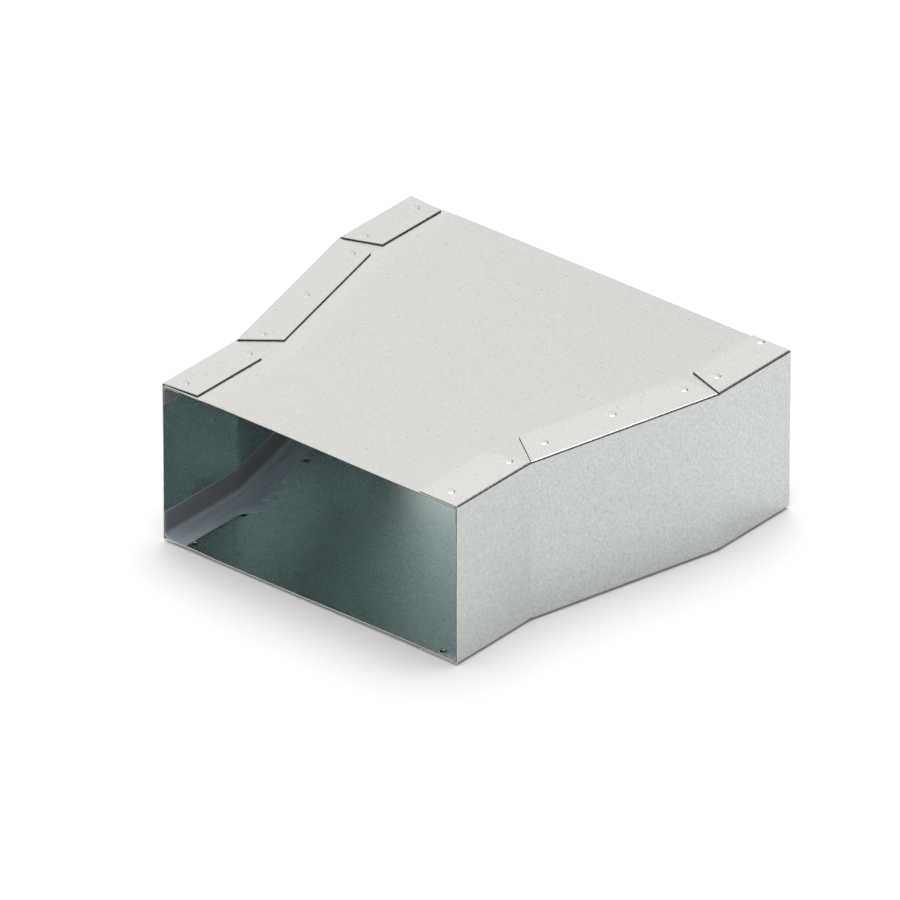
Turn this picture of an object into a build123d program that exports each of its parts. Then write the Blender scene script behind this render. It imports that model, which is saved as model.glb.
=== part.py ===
from build123d import *
from math import atan2, tan
from typing import NamedTuple
import os

# A rectangular duct reducer in galvanised sheet steel, in millimetres.
# Two flat panels, top and bottom, are held between two folded side panels. Each side panel is one
# sheet: its wall is bent twice to follow the taper, and its flanges are turned over the outer faces
# of the flat panels, with a notch between flanges at each bend. Round press joints, drawn out of
# both sheets, hold flange and panel together. The flanges were trimmed and pressed by hand, so the
# two sides differ a little. Sealant is brushed along the four inside corners.
# X runs across the duct, Y from the narrow mouth to the wide one, and Z up. The origin is under the
# middle of the body, at the level of the lowest press joints.

# Body
NARROW_WIDTH = 170.0
WIDE_WIDTH = 220.0
BODY_HEIGHT = 80.0
NARROW_COLLAR = 50.0
TAPER_LENGTH = 100.0
WIDE_COLLAR = 50.0

# Sheet and folds, with radii on the inside of each bend
SHEET = 0.8
WALL_BEND_RADIUS = 3.0
FOLD_RADIUS = 0.5
PANEL_EDGE_GAP = 0.1

# Flanges of each side, and how far their free edges are cut back at the mouths and at each notch
LEFT_FLANGE_WIDTH = 19.4
RIGHT_FLANGE_WIDTH = 21.6
LEFT_MOUTH_TRIM = 1.5
RIGHT_MOUTH_TRIM = 0.0
NARROW_NOTCH_IN_COLLAR = 5.0
NARROW_NOTCH_IN_TAPER = 9.4
WIDE_NOTCH_IN_TAPER = 6.4
WIDE_NOTCH_IN_COLLAR = 7.8

# Press joints: a raised button on the flange, and a pit in the flat panel that leaves a thin floor
BUTTON_DIAMETER = 4.0
BUTTON_RISE = 1.0
PIT_DIAMETER = 2.8
PIT_FLOOR = 0.3

# Top press joints of each flange in turn: the first one's distance from the flange's start and from
# the wall, then the last one's from the flange's end and from the wall. The taper's middle one
# stands at a share of the way between its two neighbours, and at its own distance from the wall.
LEFT_TOP_JOINTS = (((5.0, 8.3), (2.8, 12.6)), ((5.2, 8.3), (7.0, 11.9)), ((4.5, 8.3), (6.6, 9.3)))
LEFT_MIDDLE_JOINT = (0.486, 10.0)
RIGHT_TOP_JOINTS = (((8.1, 10.9), (3.2, 8.3)), ((10.0, 10.9), (6.8, 12.4)), ((7.0, 10.9), (2.6, 15.4)))
RIGHT_MIDDLE_JOINT = (0.503, 13.3)

# Bottom press joints: the first and the last one's distances from the ends of each flange in turn,
# the share for the taper's middle one, and the row's distance from the free edge on each side
BASE_JOINT_MARGINS = ((2.6, 9.2), (4.7, 5.8), (5.0, 5.0))
BASE_MIDDLE_JOINT = 0.34
LEFT_BASE_JOINT_FROM_EDGE = 4.4
RIGHT_BASE_JOINT_FROM_EDGE = 11.1

# Sealant, measured from the inside corner
SEALANT_COAT = 0.5
SEALANT_REACH_AT_MOUTH = 9.6
LOWER_RIGHT_REACH_AT_MOUTH = 4.8
SEALANT_REACH = 12.4
UPPER_SEALANT_DROP = 9.6
LOWER_SEALANT_RISE = 12.5
BRUSH_TAIL_START = 17.0
BRUSH_TAIL_REACH = 22.8
BRUSH_TAIL_OVERRUN = 9.4
BRUSH_TAIL_FORK = 5.5

length = NARROW_COLLAR + TAPER_LENGTH + WIDE_COLLAR
narrow_mouth = -length / 2
narrow_bend = narrow_mouth + NARROW_COLLAR
wide_bend = narrow_bend + TAPER_LENGTH
wide_mouth = length / 2
taper_angle = atan2((WIDE_WIDTH - NARROW_WIDTH) / 2, TAPER_LENGTH)

base = BUTTON_RISE
top = base + BODY_HEIGHT
panel_face = top - SHEET
ceiling = panel_face - SHEET
fold_reach = FOLD_RADIUS + SHEET
fold_foot = top - fold_reach
middle = Plane.XY.offset(base + BODY_HEIGHT / 2)

notch_relief = (WALL_BEND_RADIUS + SHEET) * tan(abs(taper_angle) / 2)
panel_edge = fold_reach + PANEL_EDGE_GAP


# The left half is modelled, and mirrored for the right. Upper edges are modelled, and mirrored for
# the lower ones.
def wall_line(depth):
    """Plan of the left wall from mouth to mouth, moved inwards from its outer face by a depth."""
    shift = depth * tan(taper_angle / 2)
    narrow = depth - NARROW_WIDTH / 2
    wide = depth - WIDE_WIDTH / 2
    return [
        (narrow, narrow_mouth),
        (narrow, narrow_bend + shift),
        (wide, wide_bend + shift),
        (wide, wide_mouth),
    ]


def wall_curve(depth):
    """The same line with both bends rounded: the first turns outwards and the second back."""
    radii = (WALL_BEND_RADIUS + depth, WALL_BEND_RADIUS + SHEET - depth)
    return FilletPolyline(*wall_line(depth), radius=radii)


def band(outer, inner):
    """Plan face between two lines that both run from mouth to mouth."""
    ends = [Line(outer @ 0, inner @ 0), Line(outer @ 1, inner @ 1)]
    return make_face(outer.edges() + inner.edges() + ends)


def upright(plan, low, high):
    """A plan face raised from one level to another."""
    return extrude(Pos(0, 0, low) * plan, amount=high - low, dir=(0, 0, 1))


class Side(NamedTuple):
    """What differs from one side panel to the other."""
    flange_width: float
    mouth_trim: float
    top_joints: tuple
    top_middle: tuple
    base_inset: float


def flange_cuts(side):
    """What each flange loses at its start and its end, first at the fold and then at its free edge."""
    mouth_cut = (0, side.mouth_trim)
    return (
        (mouth_cut, (notch_relief, NARROW_NOTCH_IN_COLLAR)),
        ((notch_relief, NARROW_NOTCH_IN_TAPER), (notch_relief, WIDE_NOTCH_IN_TAPER)),
        ((notch_relief, WIDE_NOTCH_IN_COLLAR), mouth_cut),
    )


def flange_frames():
    """For each flange, a plane at its start, X away from the wall and Y along it, and its length."""
    points = [Vector(*point) for point in wall_line(0)]
    frames = []
    for start, end in zip(points, points[1:]):
        along = (end - start).normalized()
        inward = along.rotate(Axis.Z, -90)
        frames.append((Plane(origin=start, x_dir=inward, z_dir=(0, 0, 1)), (end - start).length))
    return frames


def flange_section(width):
    """Section of a flange: the fold that leaves the wall, then the flat part."""
    outer_fold = TangentArc((0, fold_foot), (fold_reach, top), tangent=(0, 1))
    inner_fold = TangentArc((SHEET, fold_foot), (fold_reach, panel_face), tangent=(0, 1))
    flat = Polyline(outer_fold @ 1, (width, top), (width, panel_face), inner_fold @ 1)
    foot = Line(outer_fold @ 0, inner_fold @ 0)
    return Plane.XZ * make_face([outer_fold, inner_fold, flat, foot])


def upper_flanges(side):
    """The three upper flanges of a side panel, trimmed at the mouths and at the notches."""
    flanges = []
    for (frame, run), (start, end) in zip(flange_frames(), flange_cuts(side)):
        strip = extrude(flange_section(side.flange_width), amount=run, dir=(0, 1, 0))
        corners = [
            (0, start[0]),
            (side.flange_width, start[1]),
            (side.flange_width, run - end[1]),
            (0, run - end[0]),
        ]
        trimmed = strip & upright(make_face(Polyline(*corners, close=True)), fold_foot, top)
        flanges.append(frame.location * trimmed)
    return flanges


def joint_places(side, joints, middle_joint):
    """Places of the press joints of one row, measured from the cut ends of each flange."""
    places = []
    for index, (frame, run) in enumerate(flange_frames()):
        start, end = flange_cuts(side)[index]
        (first, first_inset), (last, last_inset) = joints[index]
        first += start[0] + (start[1] - start[0]) * first_inset / side.flange_width
        last = run - last - end[0] - (end[1] - end[0]) * last_inset / side.flange_width
        row = [(first_inset, first), (last_inset, last)]
        if index == 1:
            share, inset = middle_joint
            row.append((inset, first + (last - first) * share))
        places += [frame.location * Pos(inset, station) for inset, station in row]
    return places


def top_places(side):
    """Places of the press joints in the top flanges of a side panel."""
    return joint_places(side, side.top_joints, side.top_middle)


def base_places(side):
    """Places of the press joints in its bottom flanges, which stand in one line."""
    inset = side.base_inset
    joints = [((first, inset), (last, inset)) for first, last in BASE_JOINT_MARGINS]
    return joint_places(side, joints, (BASE_MIDDLE_JOINT, inset))


def flange_row(side, places):
    """Upper flanges of a side panel, with a button drawn up out of the sheet at each press joint."""
    button = upright(Circle(BUTTON_DIAMETER / 2), top, top + BUTTON_RISE)
    return Part() + upper_flanges(side) + [place * button for place in places]


def side_panel(side):
    """A side panel in the left one's place: the wall, its upper flanges and its lower ones."""
    wall = upright(band(wall_curve(0), wall_curve(SHEET)), base + fold_reach, fold_foot)
    lower_flanges = mirror(flange_row(side, base_places(side)), about=middle)
    return wall + flange_row(side, top_places(side)) + lower_flanges


def flat_panel(left_places, right_places):
    """The top panel, with the pit that the punch leaves inside at each press joint on both sides."""
    left_edge = wall_line(panel_edge)
    right_edge = [(-x, y) for x, y in reversed(left_edge)]
    panel = upright(make_face(Polyline(*left_edge, *right_edge, close=True)), ceiling, panel_face)
    pit = upright(Circle(PIT_DIAMETER / 2), ceiling, panel_face - PIT_FLOOR)
    left_pits = Part() + [place * pit for place in left_places]
    right_pits = Part() + [place * pit for place in right_places]
    return panel - left_pits - mirror(right_pits, about=Plane.YZ)


def sealant(depth_on_wall, reach_at_mouth, brush_tail=None):
    """The coat in the upper left corner: a strip on the wall and a wider one on the flat panel."""
    on_wall = band(wall_curve(SHEET), wall_curve(SHEET + SEALANT_COAT))
    reach_line = wall_line(SHEET + SEALANT_REACH)
    mouth_corner = (SHEET + reach_at_mouth - NARROW_WIDTH / 2, narrow_mouth)
    on_panel = band(wall_curve(SHEET), Polyline(mouth_corner, *reach_line[1:]))
    if brush_tail:
        on_panel += brush_tail
    coat = upright(on_wall, ceiling - depth_on_wall, ceiling)
    return coat + upright(on_panel, ceiling - SEALANT_COAT, ceiling)


def forked_brush_tail():
    """Where the brush ran on past the first bend: a flick away from the wall with a forked end."""
    wall_face = SHEET - NARROW_WIDTH / 2
    edge = wall_face + SEALANT_REACH_AT_MOUTH
    flick_tip = (wall_face + BRUSH_TAIL_REACH, narrow_bend)
    flick = TangentArc((edge, narrow_bend - BRUSH_TAIL_START), flick_tip, tangent=(0, 1))
    fork = (flick_tip[0] - BRUSH_TAIL_FORK, narrow_bend + BRUSH_TAIL_OVERRUN / 2)
    second_tip = (fork[0], narrow_bend + BRUSH_TAIL_OVERRUN)
    back = (wall_face + SEALANT_REACH / 2, narrow_bend + BRUSH_TAIL_OVERRUN)
    root = (wall_face + SEALANT_REACH / 2, narrow_bend - BRUSH_TAIL_START)
    return make_face([flick, Polyline(flick_tip, fork, second_tip, back, root, flick @ 0)])


left = Side(
    LEFT_FLANGE_WIDTH,
    LEFT_MOUTH_TRIM,
    LEFT_TOP_JOINTS,
    LEFT_MIDDLE_JOINT,
    LEFT_FLANGE_WIDTH - LEFT_BASE_JOINT_FROM_EDGE,
)
right = Side(
    RIGHT_FLANGE_WIDTH,
    RIGHT_MOUTH_TRIM,
    RIGHT_TOP_JOINTS,
    RIGHT_MIDDLE_JOINT,
    RIGHT_FLANGE_WIDTH - RIGHT_BASE_JOINT_FROM_EDGE,
)

bottom_panel = flat_panel(base_places(left), base_places(right))
upper_sealant = sealant(UPPER_SEALANT_DROP, SEALANT_REACH_AT_MOUTH)
plain_sealant = sealant(LOWER_SEALANT_RISE, LOWER_RIGHT_REACH_AT_MOUTH)
brushed_sealant = sealant(LOWER_SEALANT_RISE, SEALANT_REACH_AT_MOUTH, forked_brush_tail())

nodes = {
    "top_panel": flat_panel(top_places(left), top_places(right)),
    "bottom_panel": mirror(bottom_panel, about=middle),
    "left_side_panel": side_panel(left),
    "right_side_panel": mirror(side_panel(right), about=Plane.YZ),
    "sealant_upper_left": upper_sealant,
    "sealant_upper_right": mirror(upper_sealant, about=Plane.YZ),
    "sealant_lower_left": mirror(brushed_sealant, about=middle),
    "sealant_lower_right": mirror(mirror(plain_sealant, about=middle), about=Plane.YZ),
}

os.makedirs("parts", exist_ok=True)
for name, solid in nodes.items():
    export_step(solid, f"parts/{name}.step")
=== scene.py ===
from math import atan2, cos, exp, pi, radians, sin, tan
from typing import NamedTuple

import bmesh
import bpy
from bpy.props import FloatProperty, FloatVectorProperty, PointerProperty
from mathutils import Matrix, Vector, noise


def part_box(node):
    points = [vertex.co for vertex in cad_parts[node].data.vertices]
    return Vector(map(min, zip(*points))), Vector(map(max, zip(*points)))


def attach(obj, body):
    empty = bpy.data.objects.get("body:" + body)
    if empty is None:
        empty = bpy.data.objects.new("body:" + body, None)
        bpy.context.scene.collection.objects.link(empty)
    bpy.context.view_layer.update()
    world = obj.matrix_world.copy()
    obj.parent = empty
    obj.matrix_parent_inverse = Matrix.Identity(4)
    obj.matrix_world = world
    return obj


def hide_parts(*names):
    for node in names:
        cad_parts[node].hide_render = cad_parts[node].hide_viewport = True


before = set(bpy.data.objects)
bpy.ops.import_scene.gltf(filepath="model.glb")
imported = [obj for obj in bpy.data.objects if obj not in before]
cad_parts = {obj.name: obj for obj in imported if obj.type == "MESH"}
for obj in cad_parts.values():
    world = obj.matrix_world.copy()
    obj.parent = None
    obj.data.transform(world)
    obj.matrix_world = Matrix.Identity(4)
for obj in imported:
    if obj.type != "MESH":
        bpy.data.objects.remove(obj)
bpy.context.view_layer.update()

# A rectangular duct reducer in galvanised sheet steel, in metres, in the frame's own axes: X across
# the duct, Y from the narrow mouth to the wide one, Z up. Pieces are modelled at the top and on the
# left, and mirrored for the bottom and the right.

bl_info = {
    "name": "Rectangular duct reducer",
    "version": (1, 0, 0),
    "blender": (4, 5, 0),
    "location": "3D View > Sidebar > Reducer",
    "description": "Makes a galvanised duct reducer with press joints and sealed corners, and its studio",
    "category": "Add Mesh",
}

side_low, side_high = (Vector(corner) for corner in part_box("left_side_panel"))
top_low, top_high = (Vector(corner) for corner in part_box("top_panel"))
bottom_low, _ = (Vector(corner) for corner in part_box("bottom_panel"))

narrow_mouth = side_low.y
wide_mouth = side_high.y
sheet_thickness = top_high.z - top_low.z
top_face = top_high.z + sheet_thickness
base_face = bottom_low.z - sheet_thickness
ceiling = top_low.z
mid_height = (top_face + base_face) / 2


# Settings

class ReducerSheets(bpy.types.PropertyGroup):
    """Sizes of the four sheets"""
    narrow_width: FloatProperty(
        name="Narrow width", description="Width outside at the narrow mouth", default=0.170, unit="LENGTH")
    narrow_collar: FloatProperty(
        name="Narrow collar", description="Straight length at the narrow mouth", default=0.050,
        unit="LENGTH")
    taper_length: FloatProperty(
        name="Taper length", description="Length between the two wall bends", default=0.100, unit="LENGTH")
    wall_bend_radius: FloatProperty(
        name="Wall bend radius", description="Inside radius of the wall bends", default=0.003, unit="LENGTH")
    fold_radius: FloatProperty(
        name="Fold radius", description="Inside radius of the flange folds", default=0.0005, unit="LENGTH")
    panel_edge_gap: FloatProperty(
        name="Panel edge gap", description="Room between a flat panel and the fold", default=0.0001,
        unit="LENGTH")
    left_flange_width: FloatProperty(
        name="Left flange width", description="From the left wall's outer face to its flanges' free edges",
        default=0.0194, unit="LENGTH")
    right_flange_width: FloatProperty(
        name="Right flange width", description="From the right wall's outer face to its flanges' free edges",
        default=0.0216, unit="LENGTH")
    left_mouth_trim: FloatProperty(
        name="Left mouth trim", description="How far the left free edges are cut back at the mouths",
        default=0.0015, unit="LENGTH")
    right_mouth_trim: FloatProperty(
        name="Right mouth trim", description="How far the right free edges are cut back at the mouths",
        default=0.0, unit="LENGTH")
    notches: FloatVectorProperty(
        name="Notches", description="How far each notch cuts back the free edges: collar and taper at the "
        "narrow bend, taper and collar at the wide bend",
        size=4, default=(0.0050, 0.0094, 0.0064, 0.0078), unit="LENGTH")
    left_edge_lift: FloatProperty(
        name="Left edge lift", description="How far the left flanges' free edges spring off their panel",
        default=0.00004, unit="LENGTH")
    right_edge_lift: FloatProperty(
        name="Right edge lift", description="How far the right flanges' free edges spring off their panel",
        default=0.00014, unit="LENGTH")
    # Painted sheen: how much lighter the top flanges are painted on the left and on the right.
    left_painted_sheen: FloatProperty(
        name="Left rubbed", description="How much lighter the folding tool rubbed the left top flanges",
        default=0.02, subtype="FACTOR")
    right_painted_sheen: FloatProperty(
        name="Right rubbed", description="How much lighter the folding tool rubbed the right top flanges",
        default=0.075, subtype="FACTOR")
    lift_reach: FloatProperty(
        name="Lift reach", description="How far from its free edge a flange starts to spring off",
        default=0.008, unit="LENGTH")
    swell: FloatProperty(
        name="Swell", description="How far the flat panels swell outwards beside the left flanges",
        default=0.0005, unit="LENGTH")
    swell_run: FloatProperty(
        name="Swell run", description="How far from the left flanges the swell is full", default=0.015,
        unit="LENGTH")
    swell_fall: FloatProperty(
        name="Swell fall", description="How far from the right flanges the swell starts to die out",
        default=0.090, unit="LENGTH")
    wave_height: FloatProperty(
        name="Wave height", description="Height of the faint waves in the flat sheet", default=0.00016,
        unit="LENGTH")
    wave_length: FloatProperty(
        name="Wave length", description="Size of the faint waves in the flat sheet", default=0.055,
        unit="LENGTH")


class ReducerJoints(bpy.types.PropertyGroup):
    """Sizes and places of the press joints"""
    button_diameter: FloatProperty(
        name="Button diameter", description="Width of the button on a flange", default=0.0040, unit="LENGTH")
    base_rise: FloatProperty(
        name="Base rise", description="Height of a button underneath, where the part stands on it",
        default=0.00098, unit="LENGTH")
    left_rise: FloatProperty(
        name="Left rise", description="Height of a button on top at the left", default=0.00014,
        unit="LENGTH")
    right_rise: FloatProperty(
        name="Right rise", description="Height of a button on top at the right", default=0.00027,
        unit="LENGTH")
    crown_share: FloatProperty(
        name="Crown", description="Share of a button's width that its flat crown takes up", default=0.66,
        subtype="FACTOR")
    pit_diameter: FloatProperty(
        name="Pit diameter", description="Width of the punch mark inside", default=0.0028, unit="LENGTH")
    pit_depth: FloatProperty(
        name="Pit depth", description="Depth of the punch mark inside", default=0.0005, unit="LENGTH")
    left_top: FloatVectorProperty(
        name="Left top joints", description="For each flange in turn, the first joint from its start and "
        "from the wall, and the last one from its end and from the wall",
        size=12, unit="LENGTH", default=(
            0.0050, 0.0083, 0.0028, 0.0126, 0.0052, 0.0083, 0.0070, 0.0119, 0.0045, 0.0083, 0.0066, 0.0093))
    right_top: FloatVectorProperty(
        name="Right top joints", description="The same for the flanges on the right", size=12, unit="LENGTH",
        default=(
            0.0081, 0.0109, 0.0032, 0.0083, 0.0100, 0.0109, 0.0068, 0.0124, 0.0070, 0.0109, 0.0026, 0.0154))
    left_middle: FloatVectorProperty(
        name="Left middle joint", description="Share of the way between the taper's other two, and metres "
        "from the wall", size=2, default=(0.486, 0.0100))
    right_middle: FloatVectorProperty(
        name="Right middle joint", description="The same for the taper on the right", size=2,
        default=(0.503, 0.0133))
    base_margins: FloatVectorProperty(
        name="Base margins", description="First and last bottom joint from the ends of each flange in turn",
        size=6, default=(0.0026, 0.0092, 0.0047, 0.0058, 0.0050, 0.0050), unit="LENGTH")
    base_middle: FloatProperty(
        name="Base middle joint", description="Where the taper's middle joint stands between its neighbours",
        default=0.34, subtype="FACTOR")
    left_base_from_edge: FloatProperty(
        name="Left base joints", description="From the left flanges' free edges to the bottom joints",
        default=0.0044, unit="LENGTH")
    right_base_from_edge: FloatProperty(
        name="Right base joints", description="From the right flanges' free edges to the bottom joints",
        default=0.0111, unit="LENGTH")


class ReducerSealant(bpy.types.PropertyGroup):
    """Sizes of the brushed coats in the inside corners"""
    coat: FloatProperty(
        name="Coat", description="Thickness of the coat", default=0.0005, unit="LENGTH")
    feather: FloatProperty(
        name="Feather", description="Thickness at the coat's edges", default=0.00012, unit="LENGTH")
    corner_fill: FloatProperty(
        name="Corner fill", description="Radius of the paste left in the corner", default=0.0016,
        unit="LENGTH")
    reach_at_mouth: FloatProperty(
        name="Reach at the mouth", description="Width on the flat panel at the narrow mouth", default=0.0096,
        unit="LENGTH")
    lower_right_at_mouth: FloatProperty(
        name="Lower right at the mouth", description="The same for the lower right coat", default=0.0048,
        unit="LENGTH")
    reach: FloatProperty(
        name="Reach", description="Width on the flat panel along the rest", default=0.0127, unit="LENGTH")
    widening: FloatProperty(
        name="Widening", description="How far from the narrow mouth the full width is reached",
        default=0.020, unit="LENGTH")
    upper_drop: FloatProperty(
        name="Upper drop", description="Width on the wall under the top panel", default=0.0096,
        unit="LENGTH")
    lower_rise: FloatProperty(
        name="Lower rise", description="Width on the wall over the bottom panel", default=0.0125,
        unit="LENGTH")
    flick_start: FloatProperty(
        name="Flick start", description="Where the brush leaves the wall before the narrow bend",
        default=0.0170, unit="LENGTH")
    flick_reach: FloatProperty(
        name="Flick reach", description="How far from the wall the brush's flick ends", default=0.0228,
        unit="LENGTH")
    flick_overrun: FloatProperty(
        name="Flick overrun", description="How far the second tail runs past the bend", default=0.0094,
        unit="LENGTH")
    flick_fork: FloatProperty(
        name="Flick fork", description="How much nearer the wall the second tail ends", default=0.0055,
        unit="LENGTH")
    ragged: FloatProperty(
        name="Ragged", description="How far the brushed edge wanders", default=0.0007, unit="LENGTH")
    bristle: FloatProperty(
        name="Bristle", description="Distance between the bristle marks", default=0.0009, unit="LENGTH")


class ReducerFinish(bpy.types.PropertyGroup):
    """Colours of the sheets and the sealant"""
    zinc_light: FloatVectorProperty(
        name="Zinc, light", description="Lighter grains of the zinc coat", size=3, subtype="COLOR",
        default=(0.566, 0.598, 0.583), min=0, max=1)
    zinc_dark: FloatVectorProperty(
        name="Zinc, dark", description="Darker grains of the zinc coat", size=3, subtype="COLOR",
        default=(0.504, 0.532, 0.518), min=0, max=1)
    zinc_speck: FloatVectorProperty(
        name="Zinc specks", description="Small dark specks in the coat", size=3, subtype="COLOR",
        default=(0.360, 0.383, 0.370), min=0, max=1)
    punch_mark: FloatVectorProperty(
        name="Punch marks", description="Scuffed zinc in the punch marks inside", size=3, subtype="COLOR",
        default=(0.110, 0.100, 0.075), min=0, max=1)
    # Painted shade: the inner face is tinted darker and tealer, for the dim light inside the duct.
    inside_painted_shade: FloatVectorProperty(
        name="Inside tint", description="How the coat's colour is dulled on the inner face", size=3,
        subtype="COLOR", default=(0.81, 0.925, 0.94), min=0, max=1)
    shear_bright: FloatVectorProperty(
        name="Sheared edge, bright", description="Burnished part of a cut edge", size=3, subtype="COLOR",
        default=(0.640, 0.655, 0.645), min=0, max=1)
    # Near-black break of a cut edge: partly the steel's own break, partly painted shade of gaps and dark
    # reflections.
    shear_dark_and_shade: FloatVectorProperty(
        name="Sheared edge, dark", description="Broken part of a cut edge", size=3, subtype="COLOR",
        default=(0.035, 0.036, 0.034), min=0, max=1)
    paste_light: FloatVectorProperty(
        name="Sealant, light", description="Ridges left by the brush", size=3, subtype="COLOR",
        default=(0.385, 0.470, 0.530), min=0, max=1)
    paste_dark: FloatVectorProperty(
        name="Sealant, dark", description="Grooves left by the brush", size=3, subtype="COLOR",
        default=(0.245, 0.300, 0.340), min=0, max=1)
    # Painted highlight: the light line along the coat's edge on the wall.
    paste_edge_highlight: FloatVectorProperty(
        name="Sealant, edge", description="Thin edge that the brush leaves", size=3, subtype="COLOR",
        default=(0.600, 0.640, 0.650), min=0, max=1)
    # Tint that makes the coat darker and browner on the walls.
    wall_tint: FloatVectorProperty(
        name="Wall tint", description="How the coat's colour is dulled where it is thin, on the walls",
        size=3, subtype="COLOR", default=(0.49, 0.43, 0.42), min=0, max=1)


class ReducerStudio(bpy.types.PropertyGroup):
    """Floor, light and camera"""
    floor_colour: FloatVectorProperty(
        name="Floor", description="Colour of the floor", size=3, subtype="COLOR",
        default=(0.86, 0.885, 0.90), min=0, max=1)
    floor_size: FloatProperty(
        name="Floor size", description="Width of the floor", default=12.0, unit="LENGTH")
    light_colour: FloatVectorProperty(
        name="Light", description="Colour of the softbox and of the room above", size=3, subtype="COLOR",
        default=(1.0, 0.955, 0.93), min=0, max=1)
    key_power: FloatProperty(
        name="Key power", description="Strength of the softbox overhead", default=13.8, unit="POWER")
    key_size: FloatProperty(
        name="Key size", description="Width of the softbox overhead", default=1.2, unit="LENGTH")
    key_place: FloatVectorProperty(
        name="Key place", description="Middle of the softbox overhead", size=3, subtype="TRANSLATION",
        default=(0.05, 0.26, 1.50), unit="LENGTH")
    back: FloatProperty(
        name="Back", description="Brightness behind the object, where the flat top mirrors it", default=1.51)
    back_turn: FloatProperty(
        name="Back turn", description="How far the bright screen behind is turned to the left",
        default=radians(20), subtype="ANGLE")
    front: FloatProperty(
        name="Front", description="Brightness on the camera's side", default=1.2)
    ceiling: FloatProperty(
        name="Ceiling", description="Brightness overhead", default=1.55)
    horizon: FloatProperty(
        name="Horizon", description="Brightness low down behind the object", default=0.8)
    left: FloatProperty(
        name="Left", description="Brightness on the left, ahead of the narrow mouth", default=0.55)
    dim: FloatProperty(
        name="Dim", description="Brightness of the rest of the room", default=0.10)
    azimuth: FloatProperty(
        name="Azimuth", description="Camera's turn round the object", default=0.69632, subtype="ANGLE")
    elevation: FloatProperty(
        name="Elevation", description="Camera's height over the horizon", default=0.52323, subtype="ANGLE")
    distance: FloatProperty(
        name="Distance", description="From the camera to what it looks at", default=7.8556, unit="LENGTH")
    aim: FloatVectorProperty(
        name="Aim", description="What the camera looks at", size=3, subtype="TRANSLATION",
        default=(0.00026, -0.00391, 0.03552), unit="LENGTH")
    lens: FloatProperty(
        name="Lens", description="Focal length in millimetres", default=709.04)


# Plan of the left wall

def taper_angle(sheets):
    """Angle between a collar and the taper, seen from above."""
    return atan2(-side_low.x - sheets.narrow_width / 2, sheets.taper_length)


def wall_corners(sheets, depth):
    """Corners of the left wall from mouth to mouth, moved inwards from its outer face by a depth."""
    shift = depth * tan(taper_angle(sheets) / 2)
    narrow = depth - sheets.narrow_width / 2
    wide = depth + side_low.x
    narrow_bend = narrow_mouth + sheets.narrow_collar + shift
    wide_bend = narrow_bend + sheets.taper_length
    return [
        Vector((narrow, narrow_mouth, 0)),
        Vector((narrow, narrow_bend, 0)),
        Vector((wide, wide_bend, 0)),
        Vector((wide, wide_mouth, 0)),
    ]


class Run(NamedTuple):
    """A straight run of a wall's outer face, seen from above."""
    start: Vector
    along: Vector
    inward: Vector
    length: float


def wall_runs(sheets):
    """The straight runs of the left wall, from the narrow mouth to the wide one."""
    corners = wall_corners(sheets, 0)
    runs = []
    for start, end in zip(corners, corners[1:]):
        along = (end - start).normalized()
        inward = Vector((along.y, -along.x, 0))
        runs.append(Run(start, along, inward, (end - start).length))
    return runs


def bend_relief(sheets):
    """How far a wall bend's rounding reaches along the wall on each side."""
    return (sheets.wall_bend_radius + sheet_thickness) * tan(taper_angle(sheets) / 2)


class Side(NamedTuple):
    """What differs from one side panel to the other, which were trimmed and pressed by hand."""
    flange_width: float
    edge_lift: float
    painted_sheen: float
    mouth_trim: float
    top_joints: tuple
    top_middle: tuple
    top_rise: float
    base_inset: float


def left_side(sheets, joints):
    """How the left side panel was trimmed and pressed."""
    width = sheets.left_flange_width
    return Side(
        width, sheets.left_edge_lift, sheets.left_painted_sheen, sheets.left_mouth_trim, joints.left_top,
        joints.left_middle, joints.left_rise, width - joints.left_base_from_edge)


def right_side(sheets, joints):
    """How the right side panel was trimmed and pressed."""
    width = sheets.right_flange_width
    return Side(
        width, sheets.right_edge_lift, sheets.right_painted_sheen, sheets.right_mouth_trim, joints.right_top,
        joints.right_middle, joints.right_rise, width - joints.right_base_from_edge)


def flange_cuts(sheets, side):
    """What each flange loses at its start and its end, first at the fold and then at its free edge."""
    relief = bend_relief(sheets)
    mouth_cut = (0, side.mouth_trim)
    collar_end, taper_start, taper_end, collar_start = sheets.notches
    return (
        (mouth_cut, (relief, collar_end)),
        ((relief, taper_start), (relief, taper_end)),
        ((relief, collar_start), mouth_cut),
    )


def joint_rows(sheets, side, places, middle):
    """Press joints of each flange as places along its run and distances from the wall."""
    rows = []
    runs_and_cuts = zip(wall_runs(sheets), flange_cuts(sheets, side))
    for index, (run, (near, far)) in enumerate(runs_and_cuts):
        first, first_inset, last, last_inset = places[4 * index:4 * index + 4]
        first += near[0] + (near[1] - near[0]) * first_inset / side.flange_width
        last = run.length - last - far[0] - (far[1] - far[0]) * last_inset / side.flange_width
        row = [(first, first_inset), (last, last_inset)]
        if index == 1:
            share, inset = middle
            row.append((first + (last - first) * share, inset))
        rows.append(row)
    return rows


def top_rows(sheets, side):
    """Press joints of a side's top flanges."""
    return joint_rows(sheets, side, side.top_joints, side.top_middle)


def base_rows(sheets, joints, side):
    """Press joints of a side's bottom flanges, which stand in one line."""
    places = []
    for margin in joints.base_margins:
        places += [margin, side.base_inset]
    return joint_rows(sheets, side, places, (joints.base_middle, side.base_inset))


# Mesh helpers

SHARP_ANGLE = radians(35)
CELL_SPLITS = 7
HALF_CELL_MARGIN = 0.00025
RING_STEP = 0.00003
ROUND_STEPS = 5
DOME_STEPS = 8
FOLD_STEPS = 8
WAVE_CELL = 0.0045
CUT_TOLERANCE = 1e-7

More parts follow.
